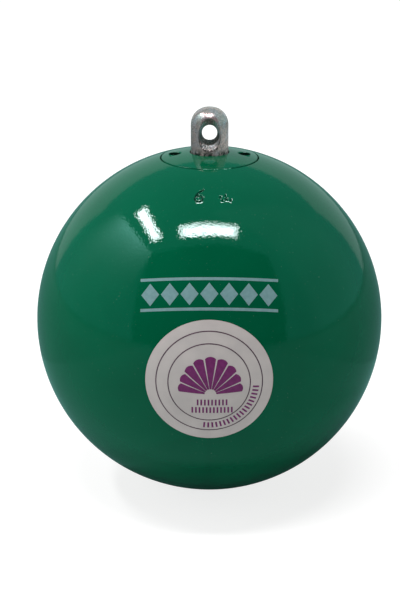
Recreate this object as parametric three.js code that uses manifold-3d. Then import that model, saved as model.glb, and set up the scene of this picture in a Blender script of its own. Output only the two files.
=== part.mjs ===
// Head of a throwing hammer: a painted steel ball with a swivel eye for the wire.
// Lengths are in millimetres and +Z is up. The ball stands on a small flat at z = 0,
// and its marked front faces -Y. The eye turns about the Z axis in a thrust bearing.

import * as THREE from 'three';
import { mergeVertices } from 'three/addons/utils/BufferGeometryUtils.js';
import Module from 'manifold-3d';

const wasm = await Module();
wasm.setup();

// Ball
const ballDiameter = 113;
const restFlatDiameter = 6;

// Gaps between pieces
const runGap = 0.3; // beside pieces that turn
const fitGap = 0.3; // round pieces that stay put
const seatGap = 0.1; // between stacked faces
const overrun = 2; // what a cut reaches past the face that it opens

// Wire eye, on top of the spindle
const rodDiameter = 12;
const eyeRise = 14.1; // top of the eye above the ball's pole
const domeFullness = 2.2; // 2 is a true hemisphere, more is flatter on top
const holeRise = 5.9; // centre of the wire hole above the pole
const throatDiameter = 5.8;
const flareWidth = 7.9; // the hole's width, height above and depth below its centre
const flareAbove = 5.1; // at the front and back of the rod
const flareBelow = 5;
const scoopPlace = 3.4; // from the axis to where the floor turns steeper

// Lower end of the spindle
const threadDiameter = 10;
const spindleEndReach = 1.5; // past the nut
const spindleChamfer = 1;

// Thrust bearing
const bearingBallDiameter = 4.762;
const bearingBallCount = 10;
const cageWall = 0.52;
const raceThickness = 3;
const raceLip = 0.3; // race beyond the cage
const grooveDepth = 1.18;
const raceEdge = 0.4; // chamfer on a race's outer corners

// Bush and dust seal round the spindle
const bushWall = 1.7;
const bushChamfer = 0.4;
const sealHeight = 2.5;
const sealNotchDepth = 1.2;
const sealNotchWidth = 1;

// Swivel plug
const landHeight = 4.4; // the full width under the ball's surface
const ledgeWidth = 0.7;
const plugThreadLength = 16;
const skirtWall = 1.4;
const raceRecessDepth = 2.5;
const plugChamfer = 0.8;
const lipThickness = 2; // over the dust seal
const spannerHoleDiameter = 4;
const spannerHoleDepth = 5;
const spannerHoleWall = 0.7; // between a spanner hole and the bush's seat

// Pocket in the ball
const seamGap = 0.4; // the open ring round the plug
const threadRunout = 2;
const pocketClearance = 1; // beside the bearing
const floorClearance = 3; // under the spindle
const ballastLedge = 4;

// Washer, slotted nut and split pin
const washerDiameter = 20;
const washerThickness = 2;
const washerEdge = 0.3;
const nutAcrossFlats = 17;
const nutHeight = 12;
const nutSlotDepth = 4;
const nutChamfer = 1;
const pinDiameter = 2.3;
const pinSplit = 0.2; // between the two halves of the pin
const pinLoopRadius = 1.6;
const pinBendRadius = 1.7;
const pinLegLength = 4.5;

// Balance slug and its retaining screw
const retainerThickness = 6;
const retainerSink = 0.5; // below the pocket's floor
const retainerChamfer = 0.8;
const socketAcrossFlats = 8;
const socketDepth = 4;
const slugLength = 18;
const drillPointAngle = 118;

// Round label
const labelDiameter = 38.4;
const labelThickness = 0.12;
const labelGap = 0.08;
const labelLatitude = -1; // degrees above the equator

// Facets
const ballFacets = 60;
const roundFacets = 36;
const smallFacets = 16;
const quarterSteps = 11; // from the ball's equator to its pole
const plugTopSteps = 3;
const domeSteps = 8;
const grooveSteps = 5;
const bearingBallFacets = 12;
const bearingBallRings = 8;
const flareFacets = 36;
const labelFacets = 36;
const labelRings = 4;
const pinSectionSteps = 5;
const pinLoopSteps = 12;
const pinBendSteps = 4;
const pinSteps = 44;

// Radii that follow from these sizes
const ballRadius = ballDiameter / 2;
const restFlatRadius = restFlatDiameter / 2;
const rodRadius = rodDiameter / 2;
const threadRadius = threadDiameter / 2;
const bearingBallRadius = bearingBallDiameter / 2;
const boreRadius = rodRadius + runGap; // every bore that the rod turns in
const cageInnerRadius = boreRadius;
const cagePocketRadius = bearingBallRadius + runGap;
const pitchRadius = cageInnerRadius + cageWall + cagePocketRadius;
const cageOuterRadius = pitchRadius + cagePocketRadius + cageWall;
const raceOuterRadius = cageOuterRadius + raceLip;
const grooveRadius = bearingBallRadius + runGap;
const raceSpacing = 2 * (grooveRadius - grooveDepth);
const cageHeight = raceSpacing - 2 * runGap;
const bushOuterRadius = boreRadius + bushWall;
const bushSeatRadius = bushOuterRadius + fitGap;
const recessRadius = raceOuterRadius + fitGap;
const plugThreadRadius = recessRadius + skirtWall;
const landRadius = plugThreadRadius + ledgeWidth;
const counterboreRadius = landRadius + seamGap;
const plugBoreRadius = plugThreadRadius + fitGap;
const pocketRadius = raceOuterRadius + pocketClearance;
const ballastBoreRadius = pocketRadius - ballastLedge;
const ballastRadius = ballastBoreRadius - fitGap;
const pinRadius = pinDiameter / 2;
const pinHoleRadius = pinRadius + fitGap;
const spannerHoleRadius = spannerHoleDiameter / 2;
const spannerHolePlace = bushSeatRadius + spannerHoleWall + spannerHoleRadius;

// Heights that follow, from the top down
const ballCentreZ = Math.sqrt(ballRadius ** 2 - restFlatRadius ** 2);
const poleZ = ballCentreZ + ballRadius;
const eyeTopZ = poleZ + eyeRise;
const domeBaseZ = eyeTopZ - rodRadius;
const holeZ = poleZ + holeRise;
const landEdgeZ = ballSurfaceZ(landRadius);
const shoulderZ = landEdgeZ - landHeight;
const plugSeatZ = shoulderZ - plugThreadLength;
const skirtEndZ = plugSeatZ - raceRecessDepth;
const lipUnderZ = poleZ - lipThickness;
const sealTopZ = lipUnderZ - seatGap;
const sealBottomZ = sealTopZ - sealHeight;
const bushTopZ = sealBottomZ - seatGap;
const bushBottomZ = plugSeatZ + seatGap;
const upperRaceTopZ = plugSeatZ - seatGap;
const upperRaceFaceZ = upperRaceTopZ - raceThickness;
const bearingZ = upperRaceFaceZ - raceSpacing / 2;
const lowerRaceFaceZ = bearingZ - raceSpacing / 2;
const lowerRaceBottomZ = lowerRaceFaceZ - raceThickness;
const washerTopZ = lowerRaceBottomZ - seatGap;
const washerBottomZ = washerTopZ - washerThickness;
const nutTopZ = washerBottomZ - seatGap;
const nutBottomZ = nutTopZ - nutHeight;
const pinZ = nutBottomZ + nutSlotDepth - pinHoleRadius;
const spindleEndZ = nutBottomZ - spindleEndReach;
const plugBoreEndZ = skirtEndZ - threadRunout;
const pocketFloorZ = spindleEndZ - floorClearance;
const retainerTopZ = pocketFloorZ - retainerSink;
const retainerBottomZ = retainerTopZ - retainerThickness;
const slugTopZ = retainerBottomZ - seatGap;
const slugShoulderZ = slugTopZ - slugLength;
const drillSlope = 1 / Math.tan(THREE.MathUtils.degToRad(drillPointAngle / 2));
const slugTipZ = slugShoulderZ - ballastRadius * drillSlope;
const ballastTipZ = slugTipZ - seatGap;
const ballastShoulderZ = ballastTipZ + ballastBoreRadius * drillSlope;

// Materials: colour, roughness and metalness
const enamelGreen = surface(0x015a3c, 0.12, 0.1);
const turnedSteel = surface(0x8c8c8a, 0.38, 1);
const groundSteel = surface(0xb4b6b8, 0.2, 1);
const zincSteel = surface(0xa9adb0, 0.35, 1);
const bronze = surface(0xa87642, 0.35, 1);
const brass = surface(0xc8a552, 0.3, 1);
const blackRubber = surface(0x151515, 0.8, 0);
const lead = surface(0x6e7277, 0.65, 0.6);
const blackOxide = surface(0x2b2b2c, 0.5, 0.8);
const labelFilm = surface(0xaaa3a0, 0.45, 0);

function surface(color, roughness, metalness) {
  return () => new THREE.MeshStandardMaterial({ color, roughness, metalness });
}

// Height of the ball's upper surface at a distance from the axis
function ballSurfaceZ(radius) {
  return ballCentreZ + Math.sqrt(ballRadius ** 2 - radius ** 2);
}

// Points [r, z] of an arc in the plane of a profile, its end points included
function arc(centreR, centreZ, radius, from, to, steps) {
  const points = [];
  for (let i = 0; i <= steps; i += 1) {
    const angle = from + ((to - from) * i) / steps;
    points.push([centreR + radius * Math.cos(angle), centreZ + radius * Math.sin(angle)]);
  }
  return points;
}

// Solid of revolution about Z. A profile runs up the outside of the section;
// one that starts off the axis closes on itself and leaves a bore.
function revolve(profile, facets) {
  const outline = profile.map(([r, z]) => new THREE.Vector2(r, z));
  if (profile[0][0] > 0) outline.push(outline[0].clone());
  return new THREE.LatheGeometry(outline, facets).rotateX(Math.PI / 2);
}

function cylinder(radius, bottomZ, topZ, facets) {
  return revolve([[0, bottomZ], [radius, bottomZ], [radius, topZ], [0, topZ]], facets);
}

function chamferedRing(inner, outer, bottomZ, topZ, edge, facets) {
  return revolve([
    [inner, bottomZ],
    [outer - edge, bottomZ],
    [outer, bottomZ + edge],
    [outer, topZ - edge],
    [outer - edge, topZ],
    [inner, topZ],
  ], facets);
}

// Upright hexagonal prism with two flats square to X
function hexPrism(acrossFlats, bottomZ, topZ) {
  const outline = new THREE.Shape();
  for (let corner = 0; corner < 6; corner += 1) {
    const angle = ((corner + 0.5) * Math.PI) / 3;
    const reach = acrossFlats / Math.sqrt(3);
    const place = [reach * Math.cos(angle), reach * Math.sin(angle)];
    if (corner === 0) outline.moveTo(...place);
    else outline.lineTo(...place);
  }
  outline.closePath();
  const settings = { depth: topZ - bottomZ, bevelEnabled: false };
  return new THREE.ExtrudeGeometry(outline, settings).translate(0, 0, bottomZ);
}

// Boolean solid of a closed geometry
function solid(geometry) {
  const bare = geometry.clone();
  bare.deleteAttribute('normal');
  bare.deleteAttribute('uv');
  const merged = mergeVertices(bare);
  const corners = merged.index.array;
  const kept = [];
  for (let i = 0; i < corners.length; i += 3) {
    const [a, b, c] = corners.slice(i, i + 3);
    if (a !== b && b !== c && c !== a) kept.push(a, b, c);
  }
  const vertProperties = Float32Array.from(merged.attributes.position.array);
  const triVerts = Uint32Array.from(kept);
  return new wasm.Manifold(new wasm.Mesh({ numProp: 3, vertProperties, triVerts }));
}

// Geometry of a boolean solid
function skin(body) {
  const mesh = body.getMesh();
  const geometry = new THREE.BufferGeometry();
  geometry.setAttribute('position', new THREE.BufferAttribute(mesh.vertProperties, 3));
  geometry.setIndex(new THREE.BufferAttribute(mesh.triVerts, 1));
  geometry.computeVertexNormals();
  return geometry;
}

function cut(geometry, tools) {
  return skin(tools.reduce((body, tool) => body.subtract(solid(tool)), solid(geometry)));
}

// Ball with its stepped pocket: counterbore, plug thread, bearing pocket and ballast bore
function headBody() {
  const lowest = -Math.acos(restFlatRadius / ballRadius);
  const highest = Math.acos(counterboreRadius / ballRadius);
  const below = arc(0, ballCentreZ, ballRadius, lowest, 0, quarterSteps);
  const above = arc(0, ballCentreZ, ballRadius, 0, highest, quarterSteps);
  return revolve([
    [0, 0],
    ...below,
    ...above.slice(1),
    [counterboreRadius, shoulderZ - seatGap],
    [plugBoreRadius, shoulderZ - seatGap],
    [plugBoreRadius, plugBoreEndZ],
    [pocketRadius, plugBoreEndZ - (plugBoreRadius - pocketRadius)],
    [pocketRadius, pocketFloorZ],
    [ballastBoreRadius, pocketFloorZ],
    [ballastBoreRadius, ballastShoulderZ],
    [0, ballastTipZ],
  ], ballFacets);
}

// Plug whose top carries on the ball's surface, with two holes for a pin spanner
function swivelPlug() {
  const innerAngle = Math.acos(boreRadius / ballRadius);
  const outerAngle = Math.acos(landRadius / ballRadius);
  const body = revolve([
    [bushSeatRadius, plugSeatZ],
    [recessRadius, plugSeatZ],
    [recessRadius, skirtEndZ],
    [plugThreadRadius - plugChamfer, skirtEndZ],
    [plugThreadRadius, skirtEndZ + plugChamfer],
    [plugThreadRadius, shoulderZ],
    [landRadius, shoulderZ],
    ...arc(0, ballCentreZ, ballRadius, outerAngle, innerAngle, plugTopSteps),
    [boreRadius, lipUnderZ],
    [bushSeatRadius, lipUnderZ],
  ], ballFacets);
  const holeTopZ = ballSurfaceZ(spannerHolePlace);
  const holes = [-1, 1].map((side) => cylinder(
    spannerHoleRadius, holeTopZ - spannerHoleDepth, holeTopZ + overrun, smallFacets,
  ).translate(side * spannerHolePlace, 0, 0));
  return cut(body, holes);
}

function dustSeal() {
  const middle = (boreRadius + bushOuterRadius) / 2;
  return revolve([
    [boreRadius, sealBottomZ],
    [middle - sealNotchWidth / 2, sealBottomZ],
    [middle, sealBottomZ + sealNotchDepth],
    [middle + sealNotchWidth / 2, sealBottomZ],
    [bushOuterRadius, sealBottomZ],
    [bushOuterRadius, sealTopZ],
    [boreRadius, sealTopZ],
  ], roundFacets);
}

function spindleBush() {
  return chamferedRing(
    boreRadius, bushOuterRadius, bushBottomZ, bushTopZ, bushChamfer, roundFacets,
  );
}

// Tool for the wire hole: an hourglass along Y, with a steeper scoop in the floor of each mouth
function wireHole() {
  const reach = rodRadius + overrun;
  const stations = [scoopPlace, rodRadius, reach];
  const rings = [...stations.map((y) => -y).reverse(), 0, ...stations];
  const profile = [[0, -reach], ...rings.map((y) => [1, y]), [0, reach]];
  const outline = profile.map(([r, y]) => new THREE.Vector2(r, y));
  const tool = new THREE.LatheGeometry(outline, flareFacets);
  const places = tool.attributes.position;
  for (let i = 0; i < places.count; i += 1) {
    const out = Math.abs(places.getY(i));
    const height = places.getZ(i) > 0 ? flareAt(out, flareAbove) : scoopedFloorAt(out);
    places.setX(i, places.getX(i) * flareAt(out, flareWidth / 2));
    places.setZ(i, places.getZ(i) * height);
  }
  return tool.translate(0, 0, holeZ);
}

// Half width or height of the hole, out from the axis, where it grows evenly to the rod's face
function flareAt(out, faceSize) {
  return throatDiameter / 2 + ((faceSize - throatDiameter / 2) * out) / rodRadius;
}

function scoopedFloorAt(out) {
  const scoopFloor = flareAt(scoopPlace, flareWidth / 2);
  if (out <= scoopPlace) return flareAt(out, flareWidth / 2);
  const share = (out - scoopPlace) / (rodRadius - scoopPlace);
  return scoopFloor + (flareBelow - scoopFloor) * share;
}

// Spindle from its threaded end to the domed wire eye
function swivelSpindle() {
  const dome = [];
  for (let i = 0; i < domeSteps; i += 1) {
    const angle = (i / domeSteps) * (Math.PI / 2);
    const radius = rodRadius * Math.cos(angle) ** (2 / domeFullness);
    const rise = rodRadius * Math.sin(angle) ** (2 / domeFullness);
    dome.push([radius, domeBaseZ + rise]);
  }
  const body = revolve([
    [0, spindleEndZ],
    [threadRadius - spindleChamfer, spindleEndZ],
    [threadRadius, spindleEndZ + spindleChamfer],
    [threadRadius, lowerRaceBottomZ],
    [rodRadius, lowerRaceBottomZ],
    ...dome,
    [0, eyeTopZ],
  ], roundFacets);
  const pinHole = cylinder(pinHoleRadius, -threadRadius - overrun, threadRadius + overrun, smallFacets)
    .rotateY(Math.PI / 2)
    .translate(0, 0, pinZ);
  return cut(body, [wireHole(), pinHole]);
}

// Race with its groove in the face at faceZ; the flat back is at backZ
function race(faceZ, backZ) {
  const toBack = Math.sign(backZ - faceZ);
  const spread = Math.acos((raceSpacing / 2) / grooveRadius);
  const groove = arc(
    pitchRadius, bearingZ, grooveRadius,
    Math.PI / 2 - spread, Math.PI / 2 + spread, grooveSteps,
  ).map(([r, z]) => [r, bearingZ + toBack * (z - bearingZ)]);
  const outline = [
    [boreRadius, faceZ],
    ...groove.reverse(),
    [raceOuterRadius - raceEdge, faceZ],
    [raceOuterRadius, faceZ + toBack * raceEdge],
    [raceOuterRadius, backZ - toBack * raceEdge],
    [raceOuterRadius - raceEdge, backZ],
    [boreRadius, backZ],
  ];
  return revolve(toBack > 0 ? outline : outline.reverse(), roundFacets);
}

function ballCage() {
  const bottomZ = bearingZ - cageHeight / 2;
  const topZ = bearingZ + cageHeight / 2;
  const ring = revolve([
    [cageInnerRadius, bottomZ],
    [cageOuterRadius, bottomZ],
    [cageOuterRadius, topZ],
    [cageInnerRadius, topZ],
  ], roundFacets);
  const pockets = bearingBallAngles().map((angle) => cylinder(
    cagePocketRadius, bottomZ - overrun, topZ + overrun, smallFacets,
  ).translate(pitchRadius * Math.cos(angle), pitchRadius * Math.sin(angle), 0));
  return cut(ring, pockets);
}

function bearingBallAngles() {
  return Array.from({ length: bearingBallCount }, (_, i) => (i * 2 * Math.PI) / bearingBallCount);
}

function nutWasher() {
  const inner = threadRadius + fitGap;
  return chamferedRing(
    inner, washerDiameter / 2, washerBottomZ, washerTopZ, washerEdge, roundFacets,
  );
}

// Hexagon nut with six slots across its lower end for the split pin
function slottedNut() {
  const corner = nutAcrossFlats / Math.sqrt(3);
  const blank = solid(hexPrism(nutAcrossFlats, nutBottomZ, nutTopZ))
    .intersect(solid(chamferedRing(
      threadRadius + fitGap, corner, nutBottomZ, nutTopZ, nutChamfer, roundFacets,
    )));
  const slotWidth = 2 * pinHoleRadius;
  const slots = [0, 1, 2].map((turn) => new THREE.BoxGeometry(
    2 * (corner + overrun), slotWidth, nutSlotDepth + overrun,
  )
    .translate(0, 0, nutBottomZ + (nutSlotDepth - overrun) / 2)
    .rotateZ((turn * Math.PI) / 3));
  return cut(skin(blank), slots);
}

// Split pin of half-round wire: bent leg, shank, loop, shank, bent leg, in the plane z = pinZ
function splitPin() {
  const half = pinSplit / 2;
  const wire = pinRadius - half;
  const opening = Math.PI / 4;
  const flatX = nutAcrossFlats / 2;
  const legX = flatX + fitGap + pinRadius;
  const loopX = -(flatX + fitGap + (pinLoopRadius + wire) * Math.cos(opening));
  const bendX = legX - pinBendRadius;
  const bendY = half + pinBendRadius;
  const upper = [[legX, bendY + pinLegLength - pinBendRadius]];
  upper.push(...arc(bendX, bendY, pinBendRadius, 0, -Math.PI / 2, pinBendSteps));
  upper.push([0, half]);
  upper.push([-flatX, half]);
  const loop = arc(loopX, 0, pinLoopRadius, opening, 2 * Math.PI - opening, pinLoopSteps);
  const lower = upper.map(([x, y]) => [x, -y]).reverse();
  const path = [...upper, ...loop, ...lower].map(([x, y]) => new THREE.Vector3(x, y, pinZ));
  const section = new THREE.Shape();
  section.moveTo(wire, 0);
  for (let i = 1; i <= pinSectionSteps; i += 1) {
    const angle = (-i * Math.PI) / pinSectionSteps;
    section.lineTo(wire * Math.cos(angle), wire * Math.sin(angle));
  }
  section.closePath();
  const extrudePath = new THREE.CatmullRomCurve3(path);
  return new THREE.ExtrudeGeometry(section, { steps: pinSteps, extrudePath });
}

function balanceSlug() {
  return revolve([
    [0, slugTipZ],
    [ballastRadius, slugShoulderZ],
    [ballastRadius, slugTopZ],
    [0, slugTopZ],
  ], roundFacets);
}

function slugRetainer() {
  const disc = revolve([
    [0, retainerBottomZ],
    [ballastRadius - retainerChamfer, retainerBottomZ],
    [ballastRadius, retainerBottomZ + retainerChamfer],
    [ballastRadius, retainerTopZ - retainerChamfer],
    [ballastRadius - retainerChamfer, retainerTopZ],
    [0, retainerTopZ],
  ], roundFacets);
  const socket = hexPrism(socketAcrossFlats, retainerTopZ - socketDepth, retainerTopZ + overrun);
  return cut(disc, [socket]);
}

// Thin round film that follows the ball, turned from its pole to the front
function roundLabel() {
  const underRadius = ballRadius + labelGap;
  const overRadius = underRadius + labelThickness;
  const edge = Math.acos(labelDiameter / 2 / underRadius);
  const under = arc(0, 0, underRadius, Math.PI / 2, edge, labelRings);
  const over = arc(0, 0, overRadius, edge, Math.PI / 2, labelRings);
  under[0][0] = 0;
  over[labelRings][0] = 0;
  const turn = THREE.MathUtils.degToRad(90 - labelLatitude);
  return revolve([...under, ...over], labelFacets).rotateX(turn);
}

function piece(name, geometry, look) {
  const mesh = new THREE.Mesh(geometry, look());
  mesh.name = name;
  return mesh;
}

function buildHead() {
  const head = new THREE.Group();
  const label = piece('round_label', roundLabel(), labelFilm);
  label.position.z = ballCentreZ;
  head.add(
    piece('head_body', headBody(), enamelGreen),
    piece('swivel_plug', swivelPlug(), enamelGreen),
    piece('dust_seal', dustSeal(), blackRubber),
    piece('spindle_bush', spindleBush(), bronze),
    piece('bearing_upper_race', race(upperRaceFaceZ, upperRaceTopZ), groundSteel),
    piece('slug_retainer', slugRetainer(), blackOxide),
    piece('balance_slug', balanceSlug(), lead),
    label,
  );
  return head;
}

function buildCage() {
  const cage = new THREE.Group();
  cage.add(piece('ball_cage', ballCage(), brass));
  bearingBallAngles().forEach((angle, i) => {
    const shape = new THREE.SphereGeometry(bearingBallRadius, bearingBallFacets, bearingBallRings);
    const name = `bearing_ball_${String(i + 1).padStart(2, '0')}`;
    const ball = piece(name, shape.rotateX(Math.PI / 2), groundSteel);
    const [x, y] = [pitchRadius * Math.cos(angle), pitchRadius * Math.sin(angle)];
    ball.position.set(x, y, bearingZ);
    cage.add(ball);
  });
  return cage;
}

function buildSwivel() {
  const swivel = new THREE.Group();
  swivel.add(
    piece('swivel_spindle', swivelSpindle(), turnedSteel),
    piece('bearing_lower_race', race(lowerRaceFaceZ, lowerRaceBottomZ), groundSteel),
    piece('nut_washer', nutWasher(), zincSteel),
    piece('slotted_nut', slottedNut(), blackOxide),
    piece('split_pin', splitPin(), zincSteel),
  );
  return swivel;
}

const hammerHead = new THREE.Group();
hammerHead.add(buildHead(), buildCage(), buildSwivel());

export default hammerHead;
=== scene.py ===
# Looks of a throwing hammer's head: glossy green enamel, a bare steel eye, a printed label.
# Lengths are in millimetres until MM turns them into metres. The front faces -Y and +Z is up.

import math

import bpy
import numpy as np
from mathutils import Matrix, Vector
from mathutils.geometry import delaunay_2d_cdt


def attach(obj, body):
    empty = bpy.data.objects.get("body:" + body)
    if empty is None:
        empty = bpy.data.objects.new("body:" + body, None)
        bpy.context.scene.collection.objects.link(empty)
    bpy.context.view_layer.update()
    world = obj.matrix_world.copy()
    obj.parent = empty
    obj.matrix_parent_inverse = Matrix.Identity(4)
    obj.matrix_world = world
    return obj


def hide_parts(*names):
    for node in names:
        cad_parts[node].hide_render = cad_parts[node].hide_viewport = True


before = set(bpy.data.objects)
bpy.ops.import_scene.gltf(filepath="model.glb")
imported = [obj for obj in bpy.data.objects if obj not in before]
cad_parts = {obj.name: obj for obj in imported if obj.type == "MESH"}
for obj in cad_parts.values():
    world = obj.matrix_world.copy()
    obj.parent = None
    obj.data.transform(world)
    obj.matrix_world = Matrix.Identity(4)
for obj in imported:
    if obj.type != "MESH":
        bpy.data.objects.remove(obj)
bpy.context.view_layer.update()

MM = 0.001
SHARP_ANGLE = 35

# Camera
CAMERA_DISTANCE = 565
CAMERA_ELEVATION = 19.6
LENS = 102.81
SENSOR = 36
AIM_RIGHT = -3.06
AIM_UP = 5.68

# Ball
BALL_RADIUS = 56.5
REST_RADIUS = 3
CENTRE_Z = math.sqrt(BALL_RADIUS**2 - REST_RADIUS**2)
POLE_Z = CENTRE_Z + BALL_RADIUS
SEAM_OUTER = 15.802
SEAM_EDGE = 0.12

# Mesh of the ball in degrees round its axis and down from its pole, fine about the stamped marks
COARSE_TURN = 3
FINE_TURN = 0.3
COARSE_FALL = 1.8
FINE_FALL = 0.12
STAMP_TURNS = (-14, 19)
STAMP_FALLS = (25.4, 33.6)

# Pocket in the ball: its radii and heights, and its section as radius and height
BALLAST_BORE = 10.002
POCKET_BORE = 14.002
THREAD_BORE = 15.002
DRILL_TIP_Z = 28.91
BALLAST_END_Z = 34.92
POCKET_FLOOR_Z = 59.5
RUNOUT_LOW_Z = 84.31
RUNOUT_HIGH_Z = 85.78
SHOULDER_Z = 106.28
POCKET = (
    (BALLAST_BORE, BALLAST_END_Z),
    (BALLAST_BORE, POCKET_FLOOR_Z),
    (POCKET_BORE, POCKET_FLOOR_Z),
    (POCKET_BORE, RUNOUT_LOW_Z),
    (THREAD_BORE, RUNOUT_HIGH_Z),
    (THREAD_BORE, SHOULDER_Z),
    (SEAM_OUTER, SHOULDER_Z),
)

# Stamped marks, with painted shade in their grooves. Places on the ball are degrees to the right of the
# front and degrees from the pole.
SIX_PLACE = (-6.6, 29.5)
DOTS_PLACE = (9.9, 30.6)
STROKE_HALF_WIDTH = 0.4
STROKE_DEPTH = 0.4
BURR_HEIGHT = 0.055
BURR_WIDTH = 0.18
RELIEF_REACH = 1.5
SHADE_START = 0.15
SIX_STEM = ((1.05, 2.5), (0.25, 1.9), (-0.5, 1.0), (-0.95, 0), (-1.15, -1.25))
SIX_BOWL_CENTRE = (0.05, -1.25)
SIX_BOWL_RADIUS = 1.2
# punch dots as right, up and radius
PUNCH_DOTS = (
    (-1.5, 0.45, 0.6),
    (-1.15, -0.95, 0.5),
    (0.1, 1.05, 0.5),
    (0.2, -0.5, 0.65),
    (1.5, -1.0, 0.65),
)

# Plug: its radii and heights, and its section below the rim as radius and height
PLUG_BORE = 6.3
PLUG_RIM = 15.402
PLUG_LIP = 0.15
PLUG_THREAD = 14.702
PLUG_CHAMFER = 0.8
RACE_RECESS = 13.302
BUSH_SEAT = 8.3
LAND_UNDER_Z = 106.38
SKIRT_END_Z = 87.88
RECESS_TOP_Z = 90.38
LIP_UNDER_Z = 110.92
PLUG_TURNS = 192
PLUG_SECTION = (
    (PLUG_RIM, LAND_UNDER_Z),
    (PLUG_THREAD, LAND_UNDER_Z),
    (PLUG_THREAD, SKIRT_END_Z + PLUG_CHAMFER),
    (PLUG_THREAD - PLUG_CHAMFER, SKIRT_END_Z),
    (RACE_RECESS, SKIRT_END_Z),
    (RACE_RECESS, RECESS_TOP_Z),
    (BUSH_SEAT, RECESS_TOP_Z),
    (BUSH_SEAT, LIP_UNDER_Z),
)

# Spanner holes, with painted shade inside them
SPANNER_PLACE = 11.0
SPANNER_RADIUS = 2
SPANNER_LIP = 0.16
SPANNER_SINK = 0.02
SPANNER_DEPTH = 5
SPANNER_POINT = 0.8
SPANNER_TURNS = 48
SPANNER_SHADE = 0.85

# Paint over the seam, from one turn to the other in degrees to the right of the front
BRIDGE_TURNS = (-9.4, 25.9)
BRIDGE_STEP = 0.5
BRIDGE_REACH = 0.08
BRIDGE_WOBBLE = 0.03
BRIDGE_CREST = 0.05
BRIDGE_SHOULDER = (0.6, 0.03)
BRIDGE_SINK = 0.02
BRIDGE_ROOT = 0.3

# Wire eye: rod and hole
ROD_RADIUS = 6
EYE_TOP_Z = POLE_Z + 14.1
DOME_BASE_Z = EYE_TOP_Z - ROD_RADIUS
DOME_FULLNESS = 2.2
HOLE_Z = POLE_Z + 5.9
THROAT_HALF_WIDTH = 2.43
THROAT_HALF_HEIGHT = 2.45
THROAT_DROP = 0.05
FLARE_SIDE = 3.5
FLARE_ABOVE = 6.1
FLARE_BELOW = 4.7
SCOOP_PLACE = 3.9
SCOOP_START = 3.35
MOUTH_ROUNDING = 0.25
LIP_ROUNDING = 0.32
LIP_DROP = 1.5
MOUTH_FULLNESS = 0.9
CHATTER_DEPTH = 0.2
CHATTER_DROP = 1.6
CHATTER_FADES = (1.2, 0.6)

# Wire eye: where it is dull and soiled, the painted shade in its bore, and the painted line of shade round
# the bore's mouth
DULL_HEIGHTS = (DOME_BASE_Z + 2, DOME_BASE_Z - 3)
SOIL_HEIGHTS = (POLE_Z + 1.7, POLE_Z - 0.2)
BORE_SKIN = 0.3
BORE_END = SCOOP_PLACE - 0.1
BORE_SHADES = (0.35, 0.8)
BORE_FADE = 0.25
MOUTH_SHADE_WIDTH = 0.36
MOUTH_SHADE_FADE = 0.2
MOUTH_SHADE = 0.95
MOUTH_SHADE_AT_HOLE = 0.6
MOUTH_SHADE_LEAST = 0.15

# Wire eye: shank and mesh
THREAD_RADIUS = 5
SPINDLE_END_Z = 62.17
SPINDLE_CHAMFER = 1
SHANK_STEP_Z = 80.2
SHANK_TURNS = 96
EYE_FOOT_Z = POLE_Z - 1.6
FOOT_OVERLAP = 0.05
NET_PITCH = 0.16
NET_ROUNDS = 4
LAST_ROUNDS = 6

# Label, with the radii of its film and ink about the ball's centre
LABEL_PLACE = (0, 91)
LABEL_RADIUS = 19.2
LABEL_UNDER = 56.58
LABEL_OVER = 56.67
LABEL_TURNS = 180
LABEL_SPACING = 1.2
INK_UNDER = 56.65
INK_OVER = 56.69
RING_RADII = (16.0, 12.35)
RING_WIDTH = 0.32
RING_TURNS = 160
TICK_PITCH = 5
TICK_RADII = (13.2, 15.1)
TICK_TURNS = (264, 356)
TICK_HALF_WIDTH = 0.28
FAN_BASE = (0.4, -3.5)
FAN_BLADES = 9
FAN_TURNS = (13, 167)
FAN_INNER = 1.8
FAN_REACH = (9.9, 12)
BLADE_SHARE = 0.87
BLADE_ROUNDING = 0.05
BLADE_END_POINTS = 8
BLADE_STEP = 0.7
DASH_HALF_WIDTH = 0.26
DASH_HALF_HEIGHT = 1.0
# rows of dashes as middle, height, count and width
DASH_ROWS = ((0.9, -6.2, 9, 9.2), (0.9, -8.8, 12, 12.4))

# Printed band, with its radii about the ball's centre
MARKING_PLACE = (0, 63.3)
MARKING_HALF_WIDTH = 20.6
MARKING_HALF_HEIGHT = 5.0
MARKING_UNDER = BALL_RADIUS - 0.03
MARKING_OVER = BALL_RADIUS + 0.02
RULE_HEIGHT = 0.9
RULE_STEP = 0.8
LOZENGE_COUNT = 7
LOZENGE_SHARE = 0.46
LOZENGE_GAP = 1.6
LOZENGE_STEP = 0.5
FILL_SPACING = 0.9


def direction(turn, fall):
    """The way out from the ball's centre, in radians from the front and from the pole."""
    return np.array([math.sin(fall) * math.sin(turn), -math.sin(fall) * math.cos(turn), math.cos(fall)])


def surface_frame(turn, fall):
    """Directions right, up and out at a place on the ball: degrees from the front and from the pole."""
    turn, fall = math.radians(turn), math.radians(fall)
    out = direction(turn, fall)
    right = np.array([math.cos(turn), math.sin(turn), 0])
    return right, np.cross(out, right), out


def ball_height(radius):
    """Height of the ball's surface above its centre, at a radius from its axis."""
    return math.sqrt(BALL_RADIUS**2 - radius**2)


def spaced(start, end, step):
    """Evenly spread values from start to end, about a step apart."""
    return np.linspace(start, end, max(2, round(abs(end - start) / step) + 1))


def circle(radius, count, centre=(0, 0)):
    """Evenly spread places on a circle."""
    return [
        (centre[0] + radius * math.cos(a), centre[1] + radius * math.sin(a))
        for a in np.linspace(0, 2 * math.pi, count, endpoint=False)
    ]


def divided(outline, step):
    """The outline with points no further apart than a step."""
    places = []
    for (ax, ay), (bx, by) in zip(outline, outline[1:] + outline[:1]):
        parts = max(1, math.ceil(math.hypot(bx - ax, by - ay) / step))
        places += [(ax + (bx - ax) * i / parts, ay + (by - ay) * i / parts) for i in range(parts)]
    return places


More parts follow.
